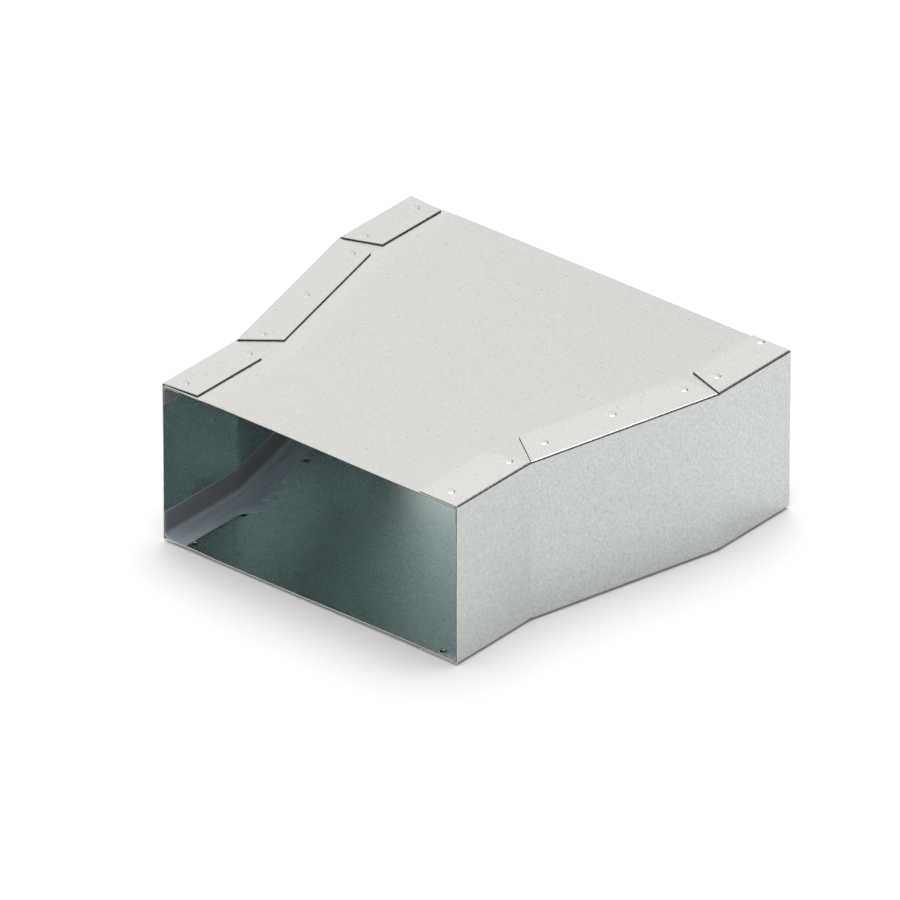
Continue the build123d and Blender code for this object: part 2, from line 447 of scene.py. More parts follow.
# A press joint's section, as shares of its radius and of its rise or depth
BUTTON_ROOT = ((1.12, 0), (1.04, 0.05))
PIT_SECTION = ((1.25, 0), (1.12, 0.08), (1.03, 0.3), (0.97, 0.8), (0.88, 1), (0.4, 1))
DEEPEST_IN_PIT = 1.01

# Where each sheet's waves are taken from the noise
TOP_WAVES = 3
BASE_WAVES = 7
RIGHT_WAVES = 11
LEFT_WAVES = 17


def clamp(value, low=0, high=1):
    """A value held between two limits."""
    return min(max(value, low), high)


def of_kind(parts, kind):
    """The vertices, edges or faces among an operator's results."""
    return [part for part in parts if isinstance(part, kind)]


def once_each(parts):
    """Parts without their repeats, in the order in which they first come."""
    return list(dict.fromkeys(parts))


def cut(bm, faces, point, direction, trim=False):
    """Cuts a straight line across some faces and gives back all of their parts, less what is trimmed."""
    parts = once_each(part for face in faces for part in (face, *face.edges, *face.verts))
    made = bmesh.ops.bisect_plane(
        bm, geom=parts, dist=CUT_TOLERANCE, plane_co=point, plane_no=direction, clear_outer=trim)
    return of_kind([part for part in made["geom"] if part.is_valid], bmesh.types.BMFace)


def cut_rows(bm, faces, first, step, count):
    """Cuts a number of parallel lines, a step apart, across some faces."""
    for index in range(count):
        faces = cut(bm, faces, first + step * index, step.normalized())
    return faces


def cut_cells(bm, faces, run, row, half_cell):
    """Cuts a square cell round each press joint of one flange or of the panel under it."""
    start, along, inward, _ = run
    for station, _ in row:
        for side in (-half_cell, half_cell):
            faces = cut(bm, faces, start + along * (station + side), along)
    for station, inset in row:
        column = []
        others = []
        for face in faces:
            beside = (face.calc_center_median() - start).dot(along) - station
            (column if abs(beside) < half_cell else others).append(face)
        for side in (-half_cell, half_cell):
            column = cut(bm, column, start + inward * (inset + side), inward)
        faces = others + column
    return faces


def draw_round(bm, faces, centre, outward, rings):
    """Draws a round form out of the cell at a press joint, ring by ring of radius and rise."""
    cell = min(faces, key=lambda face: (face.calc_center_median() - centre).length)
    bmesh.ops.bisect_edges(bm, edges=list(cell.edges), cuts=CELL_SPLITS)
    for radius, rise in rings:
        bmesh.ops.inset_individual(bm, faces=[cell], thickness=RING_STEP)
        for vert in cell.verts:
            arm = vert.co - centre
            arm -= outward * arm.dot(outward)
            vert.co = centre + arm.normalized() * radius + outward * rise


def button_rings(joints, rise):
    """Section of a press joint's button: a soft root, a rounded flank and a flat crown."""
    radius = joints.button_diameter / 2
    crown = radius * joints.crown_share
    flank = radius - crown
    curve = (flank * flank + rise * rise) / (2 * rise)
    rings = [(radius * wide, rise * high) for wide, high in BUTTON_ROOT]
    for step in range(1, DOME_STEPS + 1):
        out = flank * (1 - step / DOME_STEPS)
        rings.append((crown + out, rise - curve + (curve * curve - out * out) ** 0.5))
    return rings


def pit_rings(joints):
    """Section of a press joint's punch mark: a rolled lip, a flank and a flat floor."""
    radius = joints.pit_diameter / 2
    depth = joints.pit_depth
    return [(radius * wide, -depth * deep) for wide, deep in PIT_SECTION]


def face_outwards(bm, direction):
    """Turns an open sheet's faces so that most of them look the way that its outer face does."""
    bmesh.ops.recalc_face_normals(bm, faces=bm.faces[:])
    looking = sum((face.normal * face.calc_area() for face in bm.faces), Vector())
    if looking.dot(direction) < 0:
        bmesh.ops.reverse_faces(bm, faces=bm.faces[:])
    bm.normal_update()


def thicken(bm):
    """Gives a sheet its thickness on the inner side, and marks the depth from 0 outside to 1 inside."""
    offset = bm.verts.layers.float_vector.new("offset")
    depth = bm.verts.layers.float.new("sheet_depth")
    for vert in bm.verts:
        vert[offset] = vert.normal * vert.calc_shell_factor() * sheet_thickness
    added = bmesh.ops.extrude_face_region(bm, geom=bm.faces[:], use_keep_orig=True)["geom"]
    for vert in of_kind(added, bmesh.types.BMVert):
        vert.co -= vert[offset]
        vert[depth] = 1
    bm.verts.layers.float_vector.remove(offset)
    bmesh.ops.recalc_face_normals(bm, faces=bm.faces[:])
    bm.normal_update()


def faces_at_depth(bm, depth):
    """Faces of a thickened sheet that lie wholly on its outer side, 0, or its inner side, 1."""
    layer = bm.verts.layers.float["sheet_depth"]
    return [face for face in bm.faces if all(vert[layer] == depth for vert in face.verts)]


def smooth_step(value):
    """Goes evenly from 0 to 1 and stays there."""
    share = clamp(value)
    return share * share * (3 - 2 * share)


def distance_from_wall(runs, point):
    """How far a point of the plan lies inside the left wall's outer face."""
    narrow, taper, wide = ((point - run.start).dot(run.inward) for run in runs)
    return max(narrow, min(taper, wide))


def mirror_x(vector, side):
    """A vector of the left half, or its mirror image on the right where side is -1."""
    return Vector((vector.x * side, vector.y, vector.z))


def turn_over(bm):
    """Mirrors a piece made for the top to the bottom."""
    bmesh.ops.scale(bm, vec=(1, 1, -1), verts=bm.verts[:])
    bmesh.ops.translate(bm, vec=(0, 0, 2 * mid_height), verts=bm.verts[:])
    bmesh.ops.reverse_faces(bm, faces=bm.faces[:])
    bm.normal_update()


def swap_sides(bm):
    """Mirrors a piece made for the left to the right."""
    bmesh.ops.scale(bm, vec=(-1, 1, 1), verts=bm.verts[:])
    bmesh.ops.reverse_faces(bm, faces=bm.faces[:])
    bm.normal_update()


def set_waves(bm, sheets):
    """Moves all the pieces by one faint field of swell and waves, so that what touches still does."""
    runs = wall_runs(sheets)
    reach = sheets.left_flange_width + sheets.right_flange_width
    for vert in bm.verts:
        place = vert.co / sheets.wave_length
        left = distance_from_wall(runs, vert.co)
        right = distance_from_wall(runs, mirror_x(vert.co, -1))
        flat = smooth_step(min(left, right) / reach)
        rise = (vert.co.z - base_face) / (top_face - base_face)
        upright = sin(pi * clamp(rise)) * (1 - flat)
        level, outward = (TOP_WAVES, 1) if rise > 0.5 else (BASE_WAVES, -1)
        side, inward = (RIGHT_WAVES, -1) if vert.co.x > 0 else (LEFT_WAVES, 1)
        sunk = 0.5 + 0.5 * noise.noise(Vector((place.x, place.y, level)))
        drawn_in = 0.5 + 0.5 * noise.noise(Vector((side, place.y, place.z)))
        slack = 1 - clamp((left - sheets.left_flange_width) / sheets.swell_run)
        swell = (1 - slack * slack) * smooth_step((right - sheets.right_flange_width) / sheets.swell_fall)
        vert.co.z += outward * (sheets.swell * swell - sheets.wave_height * flat * sunk)
        vert.co.x += inward * sheets.wave_height * upright * drawn_in


def shade_smooth(bm):
    """Shades a mesh smoothly, save across its sharp edges."""
    for face in bm.faces:
        face.smooth = True
    for edge in bm.edges:
        edge.smooth = edge.calc_face_angle(0) < SHARP_ANGLE


def add_object(bm, name, materials):
    """Makes an object of a finished mesh, at the origin."""
    mesh = bpy.data.meshes.new(name)
    bm.to_mesh(mesh)
    bm.free()
    for made in materials:
        mesh.materials.append(made)
    piece = bpy.data.objects.new(name, mesh)
    bpy.context.scene.collection.objects.link(piece)
    return piece


def finish_sheet(bm, name, node):
    """Makes a sheet's object, trimmed at the mouths and with its cut edges in their own finish."""
    layer = bm.verts.layers.float["sheet_depth"]
    for vert in bm.verts:
        vert.co.y = clamp(vert.co.y, narrow_mouth, wide_mouth)
    shade_smooth(bm)
    for face in bm.faces:
        depths = [vert[layer] for vert in face.verts]
        face.material_index = int(min(depths) != max(depths))
    finish = bpy.context.scene.reducer_finish
    finishes = (material("satin_zinc", satin_zinc, finish), material("sheared_edge", sheared_edge, finish))
    piece = add_object(bm, name, finishes)
    shading = piece.modifiers.new("even_shading", "WEIGHTED_NORMAL")
    shading.keep_sharp = True
    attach(piece, "root")
    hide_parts(node)


# Flat panels

def flat_panel(sheets, joints, left_rows, right_rows):
    """The top panel: three strips cut to the plan, with a punch mark inside at each press joint."""
    edge = sheets.fold_radius + sheet_thickness + sheets.panel_edge_gap
    lines = (
        (1, edge), (1, sheets.left_flange_width),
        (-1, sheets.right_flange_width), (-1, edge),
    )
    bm = bmesh.new()
    last_line = None
    strips = []
    for hand, depth in lines:
        corners = wall_corners(sheets, depth)
        verts = [bm.verts.new((point.x * hand, point.y, top_high.z)) for point in corners]
        line = [bm.edges.new(pair) for pair in zip(verts, verts[1:])]
        if last_line:
            strips.append(bmesh.ops.bridge_loops(bm, edges=last_line + line)["faces"])
        last_line = line

    half_cell = joints.button_diameter / 2 + HALF_CELL_MARGIN
    centres = []
    for hand, faces, rows in ((1, strips[0], left_rows), (-1, strips[2], right_rows)):
        for run, row in zip(wall_runs(sheets), rows):
            start, along, inward = (mirror_x(vector, hand) for vector in run[:3])
            middle = start + along * run.length / 2
            strip = min(faces, key=lambda face: (face.calc_center_median().xy - middle.xy).length)
            faces.remove(strip)
            cut_cells(bm, [strip], Run(start, along, inward, run.length), row, half_cell)
            centres += [start + along * station + inward * inset for station, inset in row]
    width = top_high.x - top_low.x
    middle_faces = [face for face in strips[1] if face.is_valid]
    for direction, size in ((Vector((1, 0, 0)), width), (Vector((0, 1, 0)), wide_mouth - narrow_mouth)):
        count = round(size / WAVE_CELL)
        first = -direction * size / 2
        middle_faces = cut_rows(bm, middle_faces, first, direction * size / count, count)

    face_outwards(bm, Vector((0, 0, 1)))
    thicken(bm)
    inside = faces_at_depth(bm, 1)
    punched = bm.verts.layers.float.new("punched")
    for centre in centres:
        centre.z = ceiling
        draw_round(bm, inside, centre, Vector((0, 0, -1)), pit_rings(joints))
    for vert in bm.verts:
        sunk = (vert.co.z - ceiling) / joints.pit_depth
        vert[punched] = sunk if 0 < sunk < DEEPEST_IN_PIT else 0
    return bm


class REDUCER_OT_flat_panels(bpy.types.Operator):
    """Make the top and bottom panels"""
    bl_idname = "reducer.flat_panels"
    bl_label = "Flat panels"

    def execute(self, context):
        sheets = context.scene.reducer_sheets
        joints = context.scene.reducer_joints
        left = left_side(sheets, joints)
        right = right_side(sheets, joints)
        top = flat_panel(sheets, joints, top_rows(sheets, left), top_rows(sheets, right))
        set_waves(top, sheets)
        finish_sheet(top, "top_sheet", "top_panel")
        base_left = base_rows(sheets, joints, left)
        base_right = base_rows(sheets, joints, right)
        bottom = flat_panel(sheets, joints, base_left, base_right)
        turn_over(bottom)
        set_waves(bottom, sheets)
        finish_sheet(bottom, "bottom_sheet", "bottom_panel")
        return {"FINISHED"}


# Side panels

WALL_ROWS = 9
LIFT_ROWS = 3
LIFT_CURVE = 1.5


def add_flange(bm, sheets, width, run, cuts, level, upward):
    """Turns one run of the wall's edge over into a flange and trims its ends. Gives back its faces."""
    start, along, inward, length = run
    near, far = cuts
    reach = sheets.fold_radius + sheet_thickness
    before = set(bm.faces)
    edges = []
    for edge in bm.edges:
        middle = (edge.verts[0].co + edge.verts[1].co) / 2 - start
        at_level = all(abs(vert.co.z - level) < CUT_TOLERANCE for vert in edge.verts)
        on_line = abs(middle.dot(inward)) < CUT_TOLERANCE
        if at_level and on_line and near[0] < middle.dot(along) < length - far[0]:
            edges.append(edge)
    verts = once_each(vert for edge in edges for vert in edge.verts)
    centre = start + inward * reach
    centre.z = level
    folded = bmesh.ops.spin(
        bm, geom=edges + verts, cent=centre, axis=along, angle=upward * pi / 2, steps=FOLD_STEPS,
        use_merge=False)["geom_last"]
    rim = of_kind(folded, bmesh.types.BMEdge)
    flat = bmesh.ops.extrude_edge_only(bm, edges=rim)["geom"]
    bmesh.ops.translate(bm, vec=inward * (width - reach), verts=of_kind(flat, bmesh.types.BMVert))

    faces = [face for face in bm.faces if face not in before]
    ends = ((near, along * -1, start), (far, along, start + along * length))
    for (at_fold, at_edge), away, corner in ends:
        back = (at_edge - at_fold) / width
        if at_edge > 0:
            faces = cut(bm, faces, corner - away * at_fold, away + inward * back, trim=True)
    return faces


def lift_free_edge(faces, sheets, side, run, upward):
    """Springs a flange's free edge off the panel."""
    for vert in once_each(vert for face in faces for vert in face.verts):
        before_edge = side.flange_width - (vert.co - run.start).dot(run.inward)
        share = max(1 - before_edge / sheets.lift_reach, 0)
        vert.co.z += upward * side.edge_lift * share ** LIFT_CURVE


def side_panel(sheets, joints, side):
    """A side panel in the left one's place: a wall bent twice, with three flanges above and below."""
    reach = sheets.fold_radius + sheet_thickness
    low = base_face + reach
    high = top_face - reach
    bm = bmesh.new()
    plan = [bm.verts.new((point.x, point.y, low)) for point in wall_corners(sheets, 0)]
    for pair in zip(plan, plan[1:]):
        bm.edges.new(pair)
    bmesh.ops.bevel(
        bm, geom=plan[1:3], affect="VERTICES", offset=bend_relief(sheets), offset_type="OFFSET",
        segments=ROUND_STEPS, profile=0.5, material=-1)
    raised = bmesh.ops.extrude_edge_only(bm, edges=bm.edges[:])["geom"]
    bmesh.ops.translate(bm, vec=(0, 0, high - low), verts=of_kind(raised, bmesh.types.BMVert))
    wall = bm.faces[:]
    half_cell = joints.button_diameter / 2 + HALF_CELL_MARGIN
    levels = (
        (high, 1, top_rows(sheets, side)),
        (low, -1, base_rows(sheets, joints, side)),
    )
    width = side.flange_width
    buttons = []
    for level, upward, rows in levels:
        for run, cuts, row in zip(wall_runs(sheets), flange_cuts(sheets, side), rows):
            start, along, inward, _ = run
            faces = add_flange(bm, sheets, width, run, cuts, level, upward)
            faces = cut_cells(bm, faces, run, row, half_cell)
            hold = max(inset for _, inset in row) + half_cell
            step = inward * (width - hold) / (LIFT_ROWS + 1)
            faces = cut_rows(bm, faces, start + inward * hold + step, step, LIFT_ROWS)
            lift_free_edge(faces, sheets, side, run, upward)
            for station, inset in row:
                centre = start + along * station + inward * inset
                centre.z = level + upward * reach
                buttons.append((centre, Vector((0, 0, upward))))

    step = Vector((0, 0, (high - low) / WALL_ROWS))
    wall = cut_rows(bm, wall, Vector((0, 0, low)) + step, step, WALL_ROWS - 1)
    count = round((wide_mouth - narrow_mouth) / WAVE_CELL)
    step = Vector((0, (wide_mouth - narrow_mouth) / count, 0))
    cut_rows(bm, wall, Vector((0, narrow_mouth, 0)) + step, step, count - 1)

    bmesh.ops.remove_doubles(bm, verts=bm.verts[:], dist=CUT_TOLERANCE)
    flange = bm.verts.layers.float.new("flange")
    # Painted sheen mask: the top flanges, scaled by each side's share.
    painted_sheen = bm.verts.layers.float.new("painted_sheen")
    for vert in bm.verts:
        vert[flange] = clamp((vert.co.z - high) / reach)
        vert[painted_sheen] = vert[flange] * side.painted_sheen
    face_outwards(bm, Vector((-1, 0, 0)))
    thicken(bm)
    depth = bm.verts.layers.float["sheet_depth"]
    upright = bm.verts.layers.float.new("upright")
    for vert in bm.verts:
        beyond = max(vert.co.z - high, low - vert.co.z)
        vert[upright] = (1 - vert[depth]) * (1 - clamp(beyond / reach))
    outside = faces_at_depth(bm, 0)
    for centre, outward in buttons:
        rise = side.top_rise if outward.z > 0 else joints.base_rise
        draw_round(bm, outside, centre, outward, button_rings(joints, rise))
    return bm


class REDUCER_OT_side_panels(bpy.types.Operator):
    """Make the two folded side panels"""
    bl_idname = "reducer.side_panels"
    bl_label = "Side panels"

    def execute(self, context):
        sheets = context.scene.reducer_sheets
        joints = context.scene.reducer_joints
        left = side_panel(sheets, joints, left_side(sheets, joints))
        set_waves(left, sheets)
        finish_sheet(left, "left_folded_sheet", "left_side_panel")
        right = side_panel(sheets, joints, right_side(sheets, joints))
        swap_sides(right)
        set_waves(right, sheets)
        finish_sheet(right, "right_folded_sheet", "right_side_panel")
        return {"FINISHED"}


# Sealant coats

BRUSH_STEP = 0.0006
BRUSH_ROWS = 9
FILL_STEPS = 4
STATION_TOLERANCE = 1e-6

# How many times its thickness the coat takes to thin out, and the section's points at its edge on the wall
EDGE_RUN = 4
WALL_EDGE = (1, 2)

# Swings of the brushed edge: share, length along the edge and place in the noise
SWINGS = ((1.0, 0.006, 3), (0.6, 0.0017, 9))

# Brush tails: the later ones' roots and ends in overruns past the bend, and how many forks they fall short
LATER_TAILS = ((0, 0.7, 0.7), (1.1, 1.8, 1.2))
TAIL_WIDTH = 0.0022
TAIL_END = 0.0008
TAIL_CURVE = 1.6
TAIL_SWING = 0.2

# Bristle ridges: length along the coat, and height on the panel and on the wall as shares of the coat
RIDGE_LENGTH = 0.02
RIDGE_ON_PANEL = 0.3
RIDGE_ON_WALL = 0.25
SPREAD_CURVE = 1.5


def coat_section(sealant, on_wall):
    """Section of the coat as distances from the wall and from the panel, round the closed outline."""
    coat = sealant.coat
    fill = sealant.corner_fill
    reach = sealant.reach
    section = [(0, 0), (0, on_wall), (sealant.feather, on_wall)]
    wall_top = on_wall - EDGE_RUN * coat
    for row in range(BRUSH_ROWS):
        section.append((coat, wall_top + (coat + fill - wall_top) * row / (BRUSH_ROWS - 1)))
    for step in range(1, FILL_STEPS):
        turn = pi / 2 * step / FILL_STEPS
        section.append((coat + fill * (1 - cos(turn)), coat + fill * (1 - sin(turn))))
    panel_edge = reach - EDGE_RUN * coat
    for row in range(BRUSH_ROWS):
        section.append((coat + fill + (panel_edge - coat - fill) * row / (BRUSH_ROWS - 1), coat))
    return section + [(reach, sealant.feather), (reach, 0)]


def coat_reach(sealant, sheets, station, at_mouth, flick):
    """How far the coat reaches over the flat panel at a distance from the narrow mouth."""
    reach = at_mouth + (sealant.reach - at_mouth) * smooth_step(station / sealant.widening)
    wander = 0
    for share, length, place in SWINGS:
        wander += share * noise.noise(Vector((station / length, place, 0)))
    reach += sealant.ragged * wander
    if flick:
        bend = sheets.narrow_collar
        overrun = sealant.flick_overrun
        tails = [(bend - sealant.flick_start, bend, sealant.flick_reach)]
        for root, end, forks in LATER_TAILS:
            tip = sealant.flick_reach - forks * sealant.flick_fork
            tails.append((bend + root * overrun, bend + end * overrun, tip))
        for root, end, tip in tails:
            run_up = clamp((station - root) / (end - TAIL_WIDTH - root))
            past = max(station - end, 0) / TAIL_END
            drawn_out = run_up ** TAIL_CURVE * exp(-past * past) * (1 + TAIL_SWING * wander * run_up)
            reach = max(reach, sealant.reach + (tip - sealant.reach) * drawn_out)
    return reach


def sealant_coat(sealant, sheets, on_wall, at_mouth, flick, seed):
    """The coat in the upper left corner, drawn along the wall from mouth to mouth and then brushed."""
    runs = wall_runs(sheets)
    section = coat_section(sealant, on_wall)
    stops = [wall_corners(sheets, sheet_thickness + away) for away, _ in section]
    bm = bmesh.new()
    station_layer = bm.verts.layers.float.new("station")
    across_layer = bm.verts.layers.float.new("across")
    brush_layer = bm.verts.layers.float.new("brush_row")
    highlight_border_layer = bm.verts.layers.float.new("highlight_border")
    profile = []
    for index, ((away, drop), line) in enumerate(zip(section, stops)):
        vert = bm.verts.new((line[0].x, line[0].y, ceiling - drop))
        vert[across_layer] = index / len(section)
        vert[brush_layer] = away - drop
        # Marks the coat's edge on the wall, where the painted highlight goes.
        vert[highlight_border_layer] = int(index in WALL_EDGE)
        profile.append(vert)
    end = bm.faces.new(profile)
    travelled = 0
    for stop, run in enumerate(runs, start=1):
        travelled += run.length
        grown = bmesh.ops.extrude_face_region(bm, geom=[end], use_keep_orig=stop == 1)["geom"]
        end = of_kind(grown, bmesh.types.BMFace)[0]
        for vert in end.verts:
            index = round(vert[across_layer] * len(section))
            place = stops[index][stop]
            vert.co.x = place.x
            vert.co.y = place.y
            vert[station_layer] = travelled

    run_start = 0
    for run in runs:
        run_end = run_start + run.length
        here = []
        for face in bm.faces:
            stations = [vert[station_layer] for vert in face.verts]
            after_start = min(stations) >= run_start - STATION_TOLERANCE
            before_end = max(stations) <= run_end + STATION_TOLERANCE
            if len(stations) == 4 and after_start and before_end:
                here.append(face)
        count = round(run.length / BRUSH_STEP)
        step = run.along * run.length / count
        cut_rows(bm, here, run.start + step, step, count - 1)
        run_start = run_end

    bm.normal_update()
    skin = sealant.feather * 0.5
    for vert in bm.verts:
        station, away, drop = corner_place(vert.co, runs)
        away -= sheet_thickness
        inward = nearest_run(vert.co, runs).inward
        along = station / RIDGE_LENGTH + seed
        ridge = noise.noise(Vector((away / sealant.bristle, drop / sealant.bristle, along)))
        on_panel = drop < sealant.coat * 1.5 and away > sealant.coat + sealant.corner_fill * 0.5
        if on_panel:
            reach = coat_reach(sealant, sheets, vert.co.y - narrow_mouth, at_mouth, flick)
            grow = reach / sealant.reach - 1
            share = (away / sealant.reach) ** SPREAD_CURVE
            vert.co += inward * away * grow * share
            if drop > skin:
                vert.co.z += sealant.coat * RIDGE_ON_PANEL * ridge
        elif away > skin and drop > sealant.coat * 2:
            vert.co += inward * sealant.coat * RIDGE_ON_WALL * ridge
    return bm


def nearest_run(point, runs):
    """The straight run of the left wall that a point lies beside."""
    narrow, taper, wide = runs
    if point.y < taper.start.y:
        return narrow
    return taper if point.y < wide.start.y else wide


def corner_place(point, runs):
    """Where a point is: along the corner, away from the wall's outer face, and below the ceiling."""
    run = nearest_run(point, runs)
    before = sum(other.length for other in runs[:runs.index(run)])
    arm = Vector((point.x, point.y, 0)) - run.start
    return before + arm.dot(run.along), arm.dot(run.inward), ceiling - point.z


def finish_coat(bm, sheets, name, node):
    """Makes a coat's object, with a map that follows the brush, and puts it in its node's place."""
    runs = wall_runs(sheets)
    bmesh.ops.recalc_face_normals(bm, faces=bm.faces[:])
    brush = bm.loops.layers.uv.new("brush")
    brush_row = bm.verts.layers.float["brush_row"]
    for face in bm.faces:
        for loop in face.loops:
            place = loop.vert.co
            upper_left = Vector((-abs(place.x), place.y, mid_height + abs(place.z - mid_height)))
            loop[brush].uv = (corner_place(upper_left, runs)[0], loop.vert[brush_row])
    shade_smooth(bm)
    finish = bpy.context.scene.reducer_finish
    piece = add_object(bm, name, [material("brushed_sealant", brushed_sealant, finish)])
    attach(piece, "root")
    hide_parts(node)


class REDUCER_OT_sealant_coats(bpy.types.Operator):
    """Make the brushed coats in the four inside corners"""
    bl_idname = "reducer.sealant_coats"
    bl_label = "Sealant coats"

    def execute(self, context):
        sheets = context.scene.reducer_sheets
        sealant = context.scene.reducer_sealant
        coats = (
            ("upper_left", sealant.upper_drop, sealant.reach_at_mouth, False, 0.0),
            ("upper_right", sealant.upper_drop, sealant.reach_at_mouth, False, 0.4),
            ("lower_left", sealant.lower_rise, sealant.reach_at_mouth, True, 0.0),
            ("lower_right", sealant.lower_rise, sealant.lower_right_at_mouth, False, 0.8),
        )
        for corner, on_wall, at_mouth, flick, seed in coats:
            bm = sealant_coat(sealant, sheets, on_wall, at_mouth, flick, seed)
            if "lower" in corner:
                turn_over(bm)
            if "right" in corner:
                swap_sides(bm)
            set_waves(bm, sheets)
            finish_coat(bm, sheets, f"{corner}_coat", f"sealant_{corner}")
        return {"FINISHED"}


# Finishes

# Zinc coat: how fine its grains are to the metre, how far rolling has drawn the mottle out, how wide a
# speck is and how few cells have one
MOTTLE_FINENESS = 900.0
SPANGLE_FINENESS = 830.0
CLOUD_FINENESS = 170.0
SPECK_FINENESS = 420.0
ROLLED_OUT = (0.55, 1.0, 1.0)
SPECK_SIZE = (0.12, 0.24)
SPECK_CHOICE = (0.80, 0.95)
NOISE_ROUGHNESS = 0.6

# Zinc coat: share of the mottle beside the clouds, share of the specks inside, the spangle's swing on the
# walls, roughness from dark grains to light ones, and the grain's strength outside and inside
MOTTLE_SHARE = 0.86
SPECKS_INSIDE = 0.1
SPANGLE_SWING = 0.135
ZINC_ROUGHNESS = (0.24, 0.28)
GRAIN_STRENGTH = (0.60, 0.12)
GRAIN_HEIGHT = 0.00004

# Cut edges: where through the sheet the break begins, its near-black partly the steel's own break and partly
# painted shade of the gaps and dark reflections along the edges; how much sooner on a top flange, which is
# painted shade under the free edges; and metal and roughness from the burnished part to the broken one
BREAK_START = (0.56, 0.68)
FLANGE_PAINTED_SHADE = 0.14
EDGE_METAL = (0.2, 0.9)
EDGE_ROUGHNESS = (0.32, 0.62)
EDGE_STRENGTH = 0.35
EDGE_HEIGHT = 0.00005

# Sealant: gloss, how the marks are drawn out along the brush, where the coat on the wall begins, the painted
# highlight along the coat's edge there and its share, and roughness from grooves to ridges
PASTE_GLOSS = 0.45
BRISTLE_FINENESS = (28.0, 900.0, 1.0)
BRISTLE_RANGE = (0.32, 0.68)
WALL_START = (-0.003, 0.001)
HIGHLIGHT_START = (0.80, 0.97)
HIGHLIGHT_SHARE = 0.6
PASTE_ROUGHNESS = (0.42, 0.62)
BRISTLE_STRENGTH = 0.5
BRISTLE_HEIGHT = 0.00012


def material(name, make, settings):
    """A material by name, made the first time that it is asked for."""
    found = bpy.data.materials.get(name)
    if found is None:
        found = bpy.data.materials.new(name)
        found.use_nodes = True
        make(found.node_tree, settings)
    return found


def add_node(tree, kind, place, **values):
    """A node at a place in the editor, with its settings and the values of its inputs."""
    made = tree.nodes.new(kind)
    made.location = place
    for key, value in values.items():
        if hasattr(made, key):
            setattr(made, key, value)
        else:
            made.inputs[key.replace("_", " ")].default_value = value
    return made


def feed(tree, socket, value):
    """Links an output to an input, or sets the input to a plain value."""
    if isinstance(value, bpy.types.NodeSocket):
        tree.links.new(value, socket)
    else:
        socket.default_value = value


def rgba(colour):
    """A colour that is fully opaque."""
    return (*colour, 1)


def mix_colour(tree, place, factor, first, second, blend_type="MIX"):
    """A mix of two colours, each fixed or an output."""
    made = add_node(tree, "ShaderNodeMix", place, data_type="RGBA", blend_type=blend_type)
    feed(tree, made.inputs[0], factor)
    for socket, colour in ((made.inputs[6], first), (made.inputs[7], second)):
        fixed = not isinstance(colour, bpy.types.NodeSocket)
        feed(tree, socket, rgba(colour) if fixed else colour)
    return made.outputs[2]


def map_range(tree, place, value, low=0.0, high=1.0, out_low=0.0, out_high=1.0):
    """A value stretched from one range to another."""
    made = add_node(
        tree, "ShaderNodeMapRange", place, From_Min=low, From_Max=high, To_Min=out_low, To_Max=out_high)
    tree.links.new(value, made.inputs["Value"])
    return made.outputs["Result"]


def add_math(tree, place, operation, *values):
    """What an operation makes of values, each fixed or an output."""
    made = add_node(tree, "ShaderNodeMath", place, operation=operation)
    for socket, value in zip(made.inputs, values):
        feed(tree, socket, value)
    return made.outputs[0]


def add_noise(tree, place, vector, scale, detail, low=0.3, high=0.7):
    """Noise of a fineness, stretched so that its middle range fills 0 to 1."""
    made = add_node(
        tree, "ShaderNodeTexNoise", place, Scale=scale, Detail=detail, Roughness=NOISE_ROUGHNESS)
    tree.links.new(vector, made.inputs["Vector"])
    return map_range(tree, (place[0] + 250, place[1]), made.outputs[0], low, high)


def attribute(tree, place, name):
    """A value that a piece's mesh carries."""
    return add_node(tree, "ShaderNodeAttribute", place, attribute_name=name).outputs["Fac"]


def add_bump(tree, shader, height, strength, distance):
    """Makes a bump that feeds a shader's normal."""
    bump = add_node(tree, "ShaderNodeBump", (-250, -400), Distance=distance)
    feed(tree, bump.inputs["Strength"], strength)
    tree.links.new(height, bump.inputs["Height"])
    tree.links.new(bump.outputs["Normal"], shader.inputs["Normal"])


